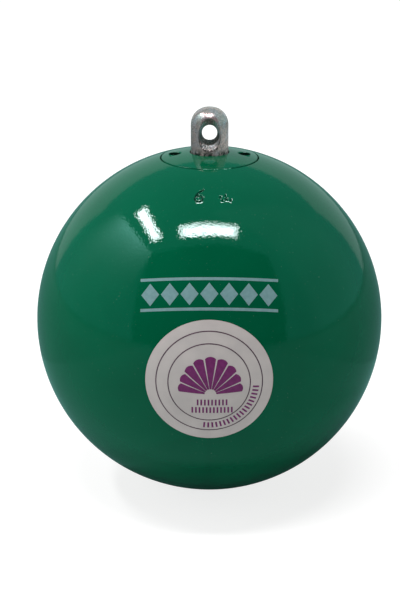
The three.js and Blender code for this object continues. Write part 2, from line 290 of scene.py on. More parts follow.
def make_piece(name, points, faces, body, finish, normals=None, shades=None):
    """A smooth mesh piece in the frame, from points in millimetres."""
    mesh = bpy.data.meshes.new(name)
    mesh.from_pydata((np.asarray(points) * MM).tolist(), [], faces)
    mesh.validate()
    mesh.shade_smooth()
    mesh.set_sharp_from_angle(angle=math.radians(SHARP_ANGLE))
    if normals is not None:
        corners = np.empty(len(mesh.loops), int)
        mesh.loops.foreach_get("vertex_index", corners)
        mesh.normals_split_custom_set(np.asarray(normals)[corners].tolist())
    mesh.materials.append(finish)
    for shade, values in (shades or {}).items():
        mesh.attributes.new(shade, "FLOAT", "POINT").data.foreach_set("value", values)
    piece = bpy.data.objects.new(name, mesh)
    bpy.context.scene.collection.objects.link(piece)
    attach(piece, body)
    return piece


def turned_faces(rows, columns):
    """Quads between rows of points that close on themselves."""
    faces = []
    for row in range(rows - 1):
        for column in range(columns):
            following = (column + 1) % columns
            low, high = row * columns, (row + 1) * columns
            faces.append((low + column, low + following, high + following, high + column))
    return faces


def tip_faces(ring, tip):
    """Triangles from a ring of points to a tip."""
    return [(start, end, tip) for start, end in zip(ring, ring[1:] + ring[:1])]


# Camera
def make_camera():
    """The camera, at the photograph's viewing angle."""
    rise = math.radians(CAMERA_ELEVATION)
    back = Vector((0, -math.cos(rise), math.sin(rise)))
    up = Vector((0, math.sin(rise), math.cos(rise)))
    centre = Vector((0, 0, CENTRE_Z))
    place = centre + back * CAMERA_DISTANCE
    aim = centre + Vector((1, 0, 0)) * AIM_RIGHT + up * AIM_UP
    data = bpy.data.cameras.new("camera")
    data.sensor_fit = "AUTO"
    data.sensor_width = SENSOR
    data.lens = LENS
    camera = bpy.data.objects.new("camera", data)
    camera.location = place * MM
    camera.rotation_euler = (aim - place).to_track_quat("-Z", "Y").to_euler()
    bpy.context.scene.collection.objects.link(camera)
    bpy.context.scene.camera = camera


make_camera()


class Nodes:
    """Short ways to make and join the nodes of a tree."""

    def __init__(self, tree):
        self.tree = tree

    def node(self, kind, inputs=None, **settings):
        node = self.tree.nodes.new(kind)
        for key, value in settings.items():
            setattr(node, key, value)
        for socket, value in (inputs or {}).items():
            self.feed(node.inputs[socket], value)
        return node

    def feed(self, socket, value):
        if isinstance(value, bpy.types.NodeSocket):
            self.tree.links.new(value, socket)
        else:
            socket.default_value = value

    def maths(self, operation, *values):
        return self.node("ShaderNodeMath", dict(enumerate(values)), operation=operation).outputs[0]

    def product(self, first, *others):
        for other in others:
            first = self.maths("MULTIPLY", first, other)
        return first

    def sum(self, *terms):
        """Sum of (value, weight) terms."""
        total = 0.0
        for value, weight in terms:
            total = self.maths("MULTIPLY_ADD", value, weight, total)
        return total

    def remap(self, value, low, high, to_low=0.0, to_high=1.0, **settings):
        inputs = {"Value": value, "From Min": low, "From Max": high, "To Min": to_low, "To Max": to_high}
        return self.node("ShaderNodeMapRange", inputs, **settings).outputs["Result"]

    def soft(self, *values):
        """Like remap, with a soft start and end."""
        return self.remap(*values, interpolation_type="SMOOTHSTEP")

    def blend(self, share, first, second, **settings):
        inputs = {"Factor": share, "A": first, "B": second}
        return self.node("ShaderNodeMix", inputs, data_type="RGBA", **settings).outputs["Result"]


class Finish(Nodes):
    """A Principled material built in the part's own coordinates."""

    def __init__(self, name, **constants):
        self.material = bpy.data.materials.new(name)
        self.material.use_nodes = True
        super().__init__(self.material.node_tree)
        self.shader = self.tree.nodes["Principled BSDF"]
        for socket, value in constants.items():
            self.shader.inputs[socket.replace("_", " ")].default_value = value
        self.place = self.node("ShaderNodeTexCoord").outputs["Object"]

    def set(self, socket, value):
        self.feed(self.shader.inputs[socket], value)

    def noise(self, size, detail=2, stretch=None):
        """Noise from 0 to 1 whose blotches are about this many millimetres wide."""
        place = self.place
        if stretch:
            inputs = {0: place, 1: stretch}
            place = self.node("ShaderNodeVectorMath", inputs, operation="MULTIPLY").outputs[0]
        inputs = {"Vector": place, "Scale": 1 / (size * MM), "Detail": detail, "Roughness": 0.5}
        return self.node("ShaderNodeTexNoise", inputs).outputs["Fac"]

    def patches(self, size, low, high, to_low=0.0, to_high=1.0, detail=2):
        """Noise of a size, spread between two of its levels."""
        return self.remap(self.noise(size, detail), low, high, to_low, to_high)

    def shade(self, name):
        """A shade that the mesh holds for each of its points."""
        return self.node("ShaderNodeAttribute", attribute_name=name).outputs["Fac"]

    def bump(self, *layers):
        """Relief from layers of (height from 0 to 1, depth in millimetres)."""
        normal = None
        for height, depth in layers:
            inputs = {"Height": height, "Distance": depth * MM, "Strength": 1.0}
            if normal:
                inputs["Normal"] = normal
            normal = self.node("ShaderNodeBump", inputs).outputs["Normal"]
        self.set("Normal", normal)


def enamel(name, chips_and_glints=0.0):
    """Glossy dark green enamel with faint orange peel, smears and dust, painted shade where the mesh marks
    points sunk, and pale flecks where asked, partly bare spots and partly painted glints.
    """
    look = Finish(name, IOR=1.5, Specular_Tint=(0.82, 1, 1, 1))
    green = look.blend(look.patches(14, 0.35, 0.65), (0.0, 0.07, 0.0305, 1), (0.0, 0.075, 0.033, 1))
    dust = look.patches(0.5, 0.74, 0.8, 0, 0.12, detail=1)
    green = look.blend(dust, green, (0.4, 0.45, 0.4, 1))
    # pale flecks: partly bare spots in the paint, partly painted glints on the lumpy paint over the seam
    if chips_and_glints:
        chip_and_glint_share = look.patches(0.55, 0.58, 0.63, 0, chips_and_glints)
        green = look.blend(chip_and_glint_share, green, (0.17, 0.44, 0.36, 1))
    # painted shade: near black wherever the sunk attribute is set, in the stamped grooves and the spanner
    # holes
    look.set("Base Color", look.blend(look.shade("sunk"), green, (0.004, 0.008, 0.006, 1)))
    look.set("Roughness", look.patches(9, 0.45, 0.7, 0.032, 0.05, detail=4))
    waves = look.noise(7, detail=1)
    look.bump((look.noise(1.05, detail=1), 0.019), (look.noise(0.55, detail=1), 0.013), (waves, 0.008))
    return look.material


def steel_tones(look):
    """Mottled steel with bluish and brownish patches."""
    mottle = look.patches(1.1, 0.35, 0.65, detail=4)
    steel = look.blend(mottle, (0.51, 0.37, 0.365, 1), (0.67, 0.48, 0.475, 1))
    steel = look.blend(look.patches(2.3, 0.45, 0.62), steel, (0.55, 0.44, 0.475, 1))
    brown = look.patches(1.7, 0.56, 0.68, 0, 0.7, detail=3)
    return look.blend(brown, steel, (0.42, 0.29, 0.265, 1))


def side_lit_steel(look, steel, side, below_dome):
    """Steel with painted light: lighter on the right side and darker on the left, most of all below the
    dome, with a fine random speckle.
    """
    # painted light: the right side is lightened and the left darkened
    side_light = look.remap(side, -ROD_RADIUS * MM, ROD_RADIUS * MM, -0.4, 0.7)
    side_light = look.product(side_light, look.remap(below_dome, 0, 1, 0.5, 1))
    brighter = look.maths("ADD", side_light, 1.0)
    brighter = look.product(brighter, look.patches(0.5, 0.35, 0.65, 0.84, 1.16))
    return look.node("ShaderNodeVectorMath", {0: steel, "Scale": brighter}, operation="SCALE").outputs[0]


def soiled_and_shaded_steel(look, steel, height):
    """Steel soiled dark round its foot, with painted shade in its bore and along a line round the bore's
    mouth.
    """
    soil = look.remap(height, *[z * MM for z in SOIL_HEIGHTS])
    soil = look.product(soil, look.patches(1.3, 0.44, 0.56, detail=3))
    steel = look.blend(soil, steel, (0.03, 0.045, 0.038, 1))
    bore, mouth = look.shade("bore"), look.shade("mouth")
    # painted shade in the bore, teal where it is shallow and dark brown deeper in
    bore_shade_share = look.product(bore, look.patches(0.6, 0.42, 0.58, 0.8, 1.6, detail=3))
    bore_shade_colour = look.blend(look.remap(bore, 0.4, 0.7), (0.01, 0.17, 0.16, 1), (0.08, 0.048, 0.04, 1))
    steel = look.blend(bore_shade_share, steel, bore_shade_colour)
    # painted shade along a line round the bore's mouth
    mouth_shade = look.product(mouth, look.patches(0.9, 0.3, 0.5, 0.5, 1, detail=3))
    return look.blend(mouth_shade, steel, (0.02, 0.024, 0.021, 1))


def bare_steel(name):
    """Turned steel that the wire keeps bright on the dome and hands dull on the rod below, with painted
    light on its right side and painted shade in and round its bore.
    """
    look = Finish(name, Metallic=0.76)
    side, _, height = look.node("ShaderNodeSeparateXYZ", {0: look.place}).outputs
    below_dome = look.remap(height, *[z * MM for z in DULL_HEIGHTS])
    steel = side_lit_steel(look, steel_tones(look), side, below_dome)
    look.set("Base Color", soiled_and_shaded_steel(look, steel, height))
    dull = look.product(below_dome, 0.35, look.remap(side, -ROD_RADIUS * MM, ROD_RADIUS * MM, 0.4, 1.2))
    look.set("Roughness", look.maths("ADD", look.patches(0.8, 0.3, 0.7, 0.13, 0.28, detail=4), dull))
    scratches = look.noise(0.25, stretch=(1, 1, 0.2))
    look.bump((look.noise(2.4, detail=1), 0.12), (look.noise(0.9, detail=3), 0.035), (scratches, 0.006))
    return look.material


def label_film(name):
    """Pale satin film, a little mottled."""
    look = Finish(name, IOR=1.46)
    cloud = look.patches(6, 0.35, 0.65, detail=4)
    look.set("Base Color", look.blend(cloud, (0.39, 0.365, 0.357, 1), (0.43, 0.4, 0.388, 1)))
    look.set("Roughness", look.patches(2.5, 0.4, 0.6, 0.34, 0.44))
    look.bump((look.noise(3.5), 0.01))
    return look.material


def ink(name, thin, full, roughness):
    """Printing ink between its thinnest and fullest colour."""
    look = Finish(name, Roughness=roughness, IOR=1.46)
    look.set("Base Color", look.blend(look.patches(1.2, 0.35, 0.65, detail=4), thin, full))
    look.bump((look.noise(0.6), 0.004))
    return look.material


def inner_metal(name, dark, light, rough, grain):
    """Metal of a piece inside the ball, with fine grain."""
    look = Finish(name, Metallic=1.0)
    look.set("Base Color", look.blend(look.patches(grain, 0.35, 0.65, detail=4), dark, light))
    look.set("Roughness", look.patches(grain * 2, 0.3, 0.7, rough * 0.8, rough * 1.2, detail=3))
    look.bump((look.noise(grain, detail=3), grain * 0.02))
    return look.material


def inner_rubber(name):
    """Matt black rubber."""
    look = Finish(name, Roughness=0.75, IOR=1.5)
    grey = look.patches(0.7, 0.35, 0.65, detail=4)
    look.set("Base Color", look.blend(grey, (0.01, 0.01, 0.01, 1), (0.022, 0.021, 0.02, 1)))
    look.bump((look.noise(0.4, detail=3), 0.02))
    return look.material


GREEN = enamel("enamel_green")
# enamel for the paint over the seam, whose pale flecks are partly bare spots and partly painted glints
CHIPS_AND_GLINTS = enamel("enamel_chips_and_glints", 0.75)
STEEL = bare_steel("turned_steel")
FILM = label_film("label_film")
PURPLE = ink("label_purple", (0.122, 0.004, 0.088, 1), (0.155, 0.008, 0.113, 1), 0.35)
LINE = ink("label_line", (0.05, 0.02, 0.04, 1), (0.09, 0.045, 0.07, 1), 0.35)
PALE = ink("pale_marking", (0.12, 0.22, 0.23, 1), (0.145, 0.255, 0.265, 1), 0.3)


def stroke_distance(place, path):
    """Distance from each place to the nearest stretch of a path."""
    nearest = np.full(len(place), np.inf)
    for start, end in zip(path[:-1], path[1:]):
        start, along = np.array(start), np.array(end) - np.array(start)
        share = np.clip(((place - start) @ along) / (along @ along), 0, 1)
        nearest = np.minimum(nearest, np.linalg.norm(place - start - share[:, None] * along, axis=1))
    return nearest


def groove(distance, half_width, depth):
    """Relief of a stamped stroke: a rounded groove between low burrs."""
    share = np.clip(1 - distance / half_width, 0, 1)
    sunk = -depth * share * share * (3 - 2 * share)
    burr = np.exp(-(((distance - half_width - BURR_WIDTH) / BURR_WIDTH) ** 2))
    return sunk + BURR_HEIGHT * burr


def local_places(points, place):
    """Points near a place on the ball, as right and up of it."""
    right, up, out = surface_frame(*place)
    offset = points - out * BALL_RADIUS
    return np.stack([offset @ right, offset @ up], axis=1)


def stamp_relief(points):
    """Height that the stamped 6 and the punch dots give to points on the ball about its centre."""
    bowl = circle(SIX_BOWL_RADIUS, 32, SIX_BOWL_CENTRE)
    six = local_places(points, SIX_PLACE)
    stroke = np.minimum(stroke_distance(six, SIX_STEM), stroke_distance(six, bowl + bowl[:1]))
    marks = [(stroke, STROKE_HALF_WIDTH)]
    dots = local_places(points, DOTS_PLACE)
    marks += [(np.linalg.norm(dots - (x, y), axis=1), radius) for x, y, radius in PUNCH_DOTS]
    relief = np.zeros(len(points))
    for distance, half_width in marks:
        near = distance < RELIEF_REACH
        relief[near] += groove(distance[near], half_width, STROKE_DEPTH)
    return relief


def relief_normals(out, step=0.02):
    """Normals of the stamped ball in the directions out, from the slope of the relief."""
    side = np.cross(np.array([0.0, 0.0, 1.0]), out)
    side /= np.linalg.norm(side, axis=1)[:, None]
    rise = np.cross(out, side)
    slopes = []
    for way in (side, rise):
        ahead = stamp_relief(out * BALL_RADIUS + way * step)
        behind = stamp_relief(out * BALL_RADIUS - way * step)
        slopes.append((ahead - behind) / (2 * step))
    normals = out - side * slopes[0][:, None] - rise * slopes[1][:, None]
    return normals / np.linalg.norm(normals, axis=1)[:, None]


def ball_turns():
    """Radians round the ball, close together across the stamped marks."""
    fine = spaced(*STAMP_TURNS, FINE_TURN)[:-1]
    coarse = spaced(STAMP_TURNS[1], 360 + STAMP_TURNS[0], COARSE_TURN)[:-1]
    return np.radians(np.concatenate([fine, coarse]))


def ball_falls():
    """Radians from the pole, from the seam's edge down to the rest flat."""
    first = math.degrees(math.asin((SEAM_OUTER + SEAM_EDGE) / BALL_RADIUS))
    last = 180 - math.degrees(math.asin(REST_RADIUS / BALL_RADIUS))
    above = spaced(first, STAMP_FALLS[0], COARSE_FALL / 2)[:-1]
    fine = spaced(*STAMP_FALLS, FINE_FALL)[:-1]
    below = spaced(STAMP_FALLS[1], last, COARSE_FALL)
    return np.radians(np.concatenate([above, fine, below]))


def seam_edge():
    """The rounded edge from the seam up to the ball's surface, as radius and height."""
    edge_z = CENTRE_Z + ball_height(SEAM_OUTER + SEAM_EDGE)
    return [
        (SEAM_OUTER + SEAM_EDGE * (1 - math.cos(a)), edge_z - SEAM_EDGE * (1 - math.sin(a)))
        for a in np.radians([0, 30, 60])
    ]


def make_ball():
    """The ball with its seam edge, stamped marks and stepped pocket."""
    turns = ball_turns()
    inner = [*POCKET, *seam_edge()]
    rows = [[(r * math.sin(t), -r * math.cos(t), z - CENTRE_Z) for t in turns] for r, z in inner]
    rows += [[BALL_RADIUS * direction(t, fall) for t in turns] for fall in ball_falls()]
    points = np.array(rows).reshape(-1, 3)
    columns = len(turns)
    outer = slice(len(inner) * columns, None)
    out = points[outer] / BALL_RADIUS
    relief = stamp_relief(points[outer])
    # painted shade in the stamped grooves, darker where they are deeper
    sunk = np.zeros(len(points) + 2)
    sunk[:len(points)][outer] = np.clip(-relief / STROKE_DEPTH - SHADE_START, 0, 1)
    normals = np.zeros((len(points) + 2, 3))
    normals[:len(points)][outer] = relief_normals(out)
    normals[len(points) - columns:] = 0
    points[outer] += out * relief[:, None]
    top, bottom = len(points), len(points) + 1
    faces = turned_faces(len(rows), columns)
    faces += tip_faces(list(range(columns))[::-1], top)
    faces += tip_faces(list(range(len(points) - columns, len(points))), bottom)
    faces = [face[::-1] for face in faces]
    points = np.vstack([points, [0, 0, DRILL_TIP_Z - CENTRE_Z], [0, 0, -CENTRE_Z]]) + (0, 0, CENTRE_Z)
    return make_piece("painted_ball", points, faces, "head", GREEN, normals, {"sunk": sunk})


def inside_loops(places, loops):
    """Whether each place is inside an odd number of the loops."""
    odd = np.zeros(len(places), bool)
    x, y = places[:, 0], places[:, 1]
    for loop in loops:
        for (ax, ay), (bx, by) in zip(loop, loop[1:] + loop[:1]):
            if ay == by:
                continue
            crosses = (ay > y) != (by > y)
            odd ^= crosses & (x < (bx - ax) * (y - ay) / (by - ay) + ax)
    return odd


def filled(loops, spacing):
    """Flat triangles that fill loops by the even-odd rule, with evenly spaced points inside."""
    edge = np.array([place for loop in loops for place in loop])
    low, high = edge.min(axis=0), edge.max(axis=0)
    grid = []
    row_height = spacing * math.sqrt(3) / 2
    for row, y in enumerate(np.arange(low[1], high[1], row_height)):
        shift = spacing / 2 * (row % 2)
        grid += [(x, y) for x in np.arange(low[0] + shift, high[0], spacing)]
    if grid:
        grid = np.array(grid)
        grid = grid[inside_loops(grid, loops)]
    if len(grid):
        least = spacing * 0.55
        clear = np.array([np.min(np.linalg.norm(edge - g, axis=1)) > least for g in grid])
        grid = grid[clear]
    places = np.vstack([edge, grid]) if len(grid) else edge
    edges, start = [], 0
    for loop in loops:
        edges += [(start + i, start + (i + 1) % len(loop)) for i in range(len(loop))]
        start += len(loop)
    made = delaunay_2d_cdt([Vector(p) for p in places], edges, [], 0, 1e-7)
    places = np.array([tuple(p) for p in made[0]])
    faces = np.array([list(face) for face in made[2]])
    middle = places[faces].mean(axis=1)
    faces = faces[inside_loops(middle, loops)]
    a, b, c = (places[faces[:, i]] for i in range(3))
    flipped = np.cross(b - a, c - a) < 0
    faces[flipped] = faces[flipped][:, ::-1]
    return places, faces


def on_ball(places, place, radius):
    """Flat places set on a sphere about the ball's centre, seen square on from a place's outside."""
    right, up, out = surface_frame(*place)
    u, v = places[:, 0], places[:, 1]
    depth = np.sqrt(radius**2 - u**2 - v**2)
    return u[:, None] * right + v[:, None] * up + depth[:, None] * out


def film(shapes, place, under, over, spacing):
    """Thin closed sheets that follow the ball. Each shape is a list of loops."""
    points, normals, faces = [], [], []
    count = 0
    for loops in shapes:
        places, fill = filled(loops, spacing)
        below, above = (on_ball(places, place, radius) for radius in (under, over))
        points += [below, above]
        normals += [np.zeros_like(below), above / over]
        top = fill + count + len(places)
        bottom = fill[:, ::-1] + count
        faces += top.tolist() + bottom.tolist()
        sides = {}
        for a, b, c in fill.tolist():
            for edge in ((a, b), (b, c), (c, a)):
                sides[edge] = True
        for a, b in sides:
            if (b, a) not in sides:
                low, high = count, count + len(places)
                faces.append((low + a, low + b, high + b, high + a))
        count += 2 * len(places)
    return np.vstack(points) + (0, 0, CENTRE_Z), faces, np.vstack(normals)


class Shell:
    """A surface that grows by rings of points whose normals follow their faces."""

    def __init__(self, points, normals, faces):
        self.points = [points]
        self.normals = [normals]
        self.faces = faces
        self.count = len(points)

    def add(self, points):
        """Takes points in and gives their indices."""
        self.points.append(np.array(points))
        self.normals.append(np.zeros((len(points), 3)))
        self.count += len(points)
        return list(range(self.count - len(points), self.count))

    def join(self, upper, lower):
        """Quads between two rings."""
        for i in range(len(upper)):
            j = (i + 1) % len(upper)
            self.faces.append((upper[i], upper[j], lower[j], lower[i]))

    def rings(self, last, rows, centre=(0, 0)):
        """Rings of these radii and heights, each joined to the one before it. Gives the last one."""
        for radius, z in rows:
            ring = self.add([(x, y, z) for x, y in circle(radius, len(last), centre)])
            self.join(last, ring)
            last = ring
        return last

    def close(self, ring, x, y, z):
        """Closes a ring by a tip."""
        self.faces += tip_faces(ring, self.add([(x, y, z)])[0])


def rounded_lip(radius, height, lip, way):
    """Rows of an edge that is rounded down to a radius from outside it (1) or from inside it (-1)."""
    return [
        (radius + way * lip * (1 - math.sin(a)), height - lip * (1 - math.cos(a)))
        for a in np.radians([30, 60, 90])
    ]


def sink_spanner_hole(shell, ring, centre):
    """A drilled hole below its ring. Gives the indices of its points that take painted shade."""
    surface = ball_height(SPANNER_PLACE)
    floor = surface - SPANNER_DEPTH
    rows = rounded_lip(SPANNER_RADIUS, surface - SPANNER_SINK, SPANNER_LIP, 1)
    first = shell.count
    last = shell.rings(ring, [*rows, (SPANNER_RADIUS, floor)], centre)
    shell.close(last, *centre, floor - SPANNER_POINT)
    return range(first + 2 * SPANNER_TURNS, shell.count)


def make_plug():
    """The plug: its domed top with two spanner holes, and its turned underside."""
    holes = [(-SPANNER_PLACE, 0), (SPANNER_PLACE, 0)]
    rim, bore = PLUG_RIM - PLUG_LIP, PLUG_BORE + PLUG_LIP
    loops = [circle(rim, PLUG_TURNS), circle(bore, PLUG_TURNS)]
    loops += [circle(SPANNER_RADIUS + SPANNER_LIP, SPANNER_TURNS, hole) for hole in holes]
    places, fill = filled(loops, FILL_SPACING)
    top = np.column_stack([places, np.sqrt(BALL_RADIUS**2 - (places**2).sum(axis=1))])
    shell = Shell(top, top / BALL_RADIUS, fill.tolist())
    rings = [[int(np.argmin(((places - p) ** 2).sum(axis=1))) for p in loop] for loop in loops]
    dark = []
    for hole, ring in zip(holes, rings[2:]):
        dark += sink_spanner_hole(shell, ring, hole)
    outer_rows = rounded_lip(PLUG_RIM, ball_height(rim), PLUG_LIP, -1)
    outer_rows += [(radius, z - CENTRE_Z) for radius, z in PLUG_SECTION]
    inner_rows = rounded_lip(PLUG_BORE, ball_height(bore), PLUG_LIP, 1)
    inner_rows.append((PLUG_BORE, LIP_UNDER_Z - CENTRE_Z))
    shell.join(shell.rings(rings[0], outer_rows), shell.rings(rings[1], inner_rows))
    points = np.vstack(shell.points) + (0, 0, CENTRE_Z)
    normals = np.vstack(shell.normals)
    # painted shade inside the spanner holes
    sunk = np.zeros(len(points))
    sunk[dark] = SPANNER_SHADE
    shades = {"sunk": sunk}
    return make_piece("green_plug", points, shell.faces, "head", GREEN, normals, shades)


def bridge_section(taper):
    """Section across the paint over the seam, as share of its half width and height."""
    share, height = BRIDGE_SHOULDER
    return (
        (-1, -BRIDGE_SINK),
        (-share, height),
        (0, BRIDGE_CREST * taper),
        (share, height),
        (1, -BRIDGE_SINK),
        (0, -BRIDGE_ROOT),
    )


def make_bridge():
    """The lip of paint that fills the seam for a short way at the front."""
    turns = spaced(*BRIDGE_TURNS, BRIDGE_STEP)
    middle_turn = turns.mean()
    points = []
    for turn in turns:
        taper = math.sqrt(max(0.0, 1 - ((turn - middle_turn) / (turns[-1] - middle_turn)) ** 2))
        wobble = BRIDGE_WOBBLE * (math.sin(turn * 0.9) + math.sin(turn * 2.3 + 1))
        outer, inner = SEAM_OUTER + BRIDGE_REACH + wobble, PLUG_RIM - BRIDGE_REACH + wobble / 2
        around = math.radians(turn)
        section = bridge_section(taper)
        for share, rise in section:
            radius = (outer + inner) / 2 + share * (outer - inner) / 2
            z = ball_height(radius) + rise
            points.append((radius * math.sin(around), -radius * math.cos(around), z + CENTRE_Z))
    count = len(section)
    faces = [(a, d, c, b) for a, b, c, d in turned_faces(len(turns), count)]
    faces.append(tuple(range(count)))
    faces.append(tuple(reversed(range(len(points) - count, len(points)))))
    make_piece("seam_paint", points, faces, "head", CHIPS_AND_GLINTS)


def smooth_max(first, second, width):
    """The greater of two values, rounded over where they are close."""
    blend = np.clip(width - np.abs(first - second), 0, None) / width
    return np.maximum(first, second) + blend**2 * width / 4


def rod_distance(points):
    """Signed distance, roughly, to the skin of the rod and its dome."""
    x, y, z = points.T
    across = (np.sqrt(x * x + y * y) + 1e-9) / ROD_RADIUS
    above = np.clip(z - DOME_BASE_Z, 0, None) / ROD_RADIUS
    n = DOME_FULLNESS
    return ((across**n + above**n) ** (1 / n) - 1) * ROD_RADIUS


def tool_marks(x, y, z):
    """Chatter of the tool that cut the scoop."""
    waves = np.sin(x * 4.3 + 1.3 * np.sin(z * 2.3) + y)
    return waves * 0.5 + np.sin(x * 6.1 - z * 6.3 + 2) * 0.5


def hole_distance(points):
    """Signed distance, roughly, to the wire hole's wall, above 0 in the hole."""
    x, y, z = points.T
    out = np.abs(y)
    share = out / ROD_RADIUS
    past = (out - SCOOP_PLACE) / (ROD_RADIUS - SCOOP_PLACE)
    drop = z - HOLE_Z + THROAT_DROP * (1 - share)
    side = THROAT_HALF_WIDTH + (FLARE_SIDE - THROAT_HALF_WIDTH) * share
    roof = THROAT_HALF_HEIGHT + (FLARE_ABOVE - THROAT_HALF_HEIGHT) * share
    cone = THROAT_HALF_HEIGHT + (SCOOP_START - THROAT_HALF_HEIGHT) * out / SCOOP_PLACE
    scoop = SCOOP_START + (FLARE_BELOW - SCOOP_START) * past
    tall = np.where(drop > 0, roof, np.where(out > SCOOP_PLACE, scoop, cone))
    n = 2 + MOUTH_FULLNESS * np.clip(past, 0, 1) * (drop < 0)
    reach = (np.abs(x / side) ** n + np.abs(drop / tall) ** n) ** (1 / n) + 1e-9
    slope = np.sqrt((x / side**2) ** 2 + (drop / tall**2) ** 2) + 1e-9
    low, far = CHATTER_FADES
    marked = np.clip((-drop - CHATTER_DROP) / low, 0, 1) * np.clip((out - SCOOP_PLACE) / far, 0, 1)
    return -(reach * (reach - 1) / slope + CHATTER_DEPTH * tool_marks(x, y, z) * marked)


def eye_distance(points):
    """Signed distance, roughly, to the skin of the wire eye."""
    lip = np.clip((HOLE_Z - points[:, 2] - LIP_DROP) / LIP_DROP, 0, 1)
    rounding = MOUTH_ROUNDING + (LIP_ROUNDING - MOUTH_ROUNDING) * lip
    skin = smooth_max(rod_distance(points), hole_distance(points), rounding)
    return np.maximum(skin, EYE_FOOT_Z - points[:, 2])


def eye_shades(points):
    """Shares of each point's painted shade: in the bore, and along a line round its mouth."""
    rod, hole = rod_distance(points), hole_distance(points)
    # painted shade along a line round the mouth, stronger below the hole
    mouth_shade = np.clip((MOUTH_SHADE_WIDTH - np.maximum(np.abs(rod), np.abs(hole))) / MOUTH_SHADE_FADE, 0, 1)
    under = np.clip(MOUTH_SHADE_AT_HOLE - (points[:, 2] - HOLE_Z) / ROD_RADIUS, MOUTH_SHADE_LEAST, 1)
    # painted shade in the bore, stronger deeper in and lower down
    depth = np.clip((BORE_END - np.abs(points[:, 1])) / BORE_FADE, 0, 1)
    below = np.clip(HOLE_Z + 1 - points[:, 2], 0, 1)
    shallow, deep = BORE_SHADES
    bore = (rod < -BORE_SKIN) * (shallow + (deep - shallow) * depth) * below
    return {"bore": bore, "mouth": MOUTH_SHADE * mouth_shade * under}


def surface_net(distance, low, high, pitch):
    """Quads near the zero level of a distance function, one point to each cell that it crosses."""
    counts = np.ceil((high - low) / pitch).astype(int) + 1
    axes = [low[i] + pitch * np.arange(counts[i]) for i in range(3)]
    grid = np.stack(np.meshgrid(*axes, indexing="ij"), axis=-1)
    inside = distance(grid.reshape(-1, 3)).reshape(counts) < 0
    total = np.zeros(counts - 1, int)
    for corner in np.ndindex(2, 2, 2):
        window = tuple(slice(c, c + n - 1) for c, n in zip(corner, counts))
        total += inside[window]
    crossed = (total > 0) & (total < 8)
    index = np.full(counts - 1, -1)
    index[crossed] = np.arange(crossed.sum())
    points = low + (np.argwhere(crossed) + 0.5) * pitch
    faces = []
    for axis in range(3):
        ahead = np.roll(inside, -1, axis)
        change = inside != ahead
        change[tuple(-1 if i == axis else slice(None) for i in range(3))] = False
        cells = np.argwhere(change)
        first, second = [i for i in range(3) if i != axis]
        corners = []
        for a, b in ((1, 1), (0, 1), (0, 0), (1, 0)):
            cell = cells.copy()
            cell[:, first] -= a
            cell[:, second] -= b
            corners.append(index[tuple(cell.T)])
        quads = np.stack(corners, axis=1)
        flip = inside[tuple(cells.T)] ^ (axis == 1)
        quads[~flip] = quads[~flip][:, ::-1]
        faces.append(quads)
    return points, np.vstack(faces)


def slope_of(distance, points, step=0.01):
    """Directions in which a distance function grows fastest."""
    slopes = []
    for axis in range(3):
        shift = np.zeros(3)
        shift[axis] = step
        slopes.append((distance(points + shift) - distance(points - shift)) / (2 * step))
    slopes = np.stack(slopes, axis=1)
    return slopes / (np.linalg.norm(slopes, axis=1)[:, None] + 1e-12)


def settle(distance, points, rounds, share=0.8):
    """Moves points onto the zero level of a distance function, a share of the way in each round."""
    for _ in range(rounds):
        points = points - slope_of(distance, points) * distance(points)[:, None] * share
    return points


def relax(points, faces, share=0.5):
    """Moves each point towards the mean of its neighbours."""
    total, number = np.zeros_like(points), np.zeros(len(points))
    for a in range(4):
        start, end = faces[:, a], faces[:, (a + 1) % 4]
        for one, other in ((start, end), (end, start)):
            np.add.at(total, one, points[other])
            np.add.at(number, one, 1)
    return points + share * (total / number[:, None] - points)


def eye_net():
    """Points and quads of the wire eye above the shank."""
    reach = ROD_RADIUS + 3 * NET_PITCH
    low = np.array([-reach, -reach, EYE_FOOT_Z - 2 * NET_PITCH])
    high = np.array([reach, reach, EYE_TOP_Z + 3 * NET_PITCH])
    points, faces = surface_net(eye_distance, low, high, NET_PITCH)
    for _ in range(NET_ROUNDS):
        points = relax(settle(eye_distance, points, 2), faces)
    return settle(eye_distance, points, LAST_ROUNDS), faces


def turned_shank():
    """Points and faces of the shank, closed at both ends."""
    section = (
        (THREAD_RADIUS - SPINDLE_CHAMFER, SPINDLE_END_Z),
        (THREAD_RADIUS, SPINDLE_END_Z + SPINDLE_CHAMFER),
        (THREAD_RADIUS, SHANK_STEP_Z),
        (ROD_RADIUS, SHANK_STEP_Z),
        (ROD_RADIUS, EYE_FOOT_Z + FOOT_OVERLAP),
    )
    points = [(x, y, z) for radius, z in section for x, y in circle(radius, SHANK_TURNS)]
    faces = turned_faces(len(section), SHANK_TURNS)
    faces.append(tuple(reversed(range(SHANK_TURNS))))
    faces.append(tuple(range(len(points) - SHANK_TURNS, len(points))))
    return points, faces


def make_eye():
    """The spindle: a finely meshed wire eye on its turned shank."""
    points, faces = eye_net()
    normals = slope_of(eye_distance, points)
    normals[points[:, 2] < EYE_FOOT_Z + NET_PITCH] = 0
    shank_points, shank_faces = turned_shank()
    start = len(points)
    faces = faces.tolist() + [tuple(start + i for i in face) for face in shank_faces]
    points = np.vstack([points, shank_points])
    normals = np.vstack([normals, np.zeros((len(shank_points), 3))])
    above = points[:, 2] > EYE_FOOT_Z
    shades = {shade: np.where(above, values, 0) for shade, values in eye_shades(points).items()}
    return make_piece("steel_eye", points, faces, "swivel", STEEL, normals, shades)


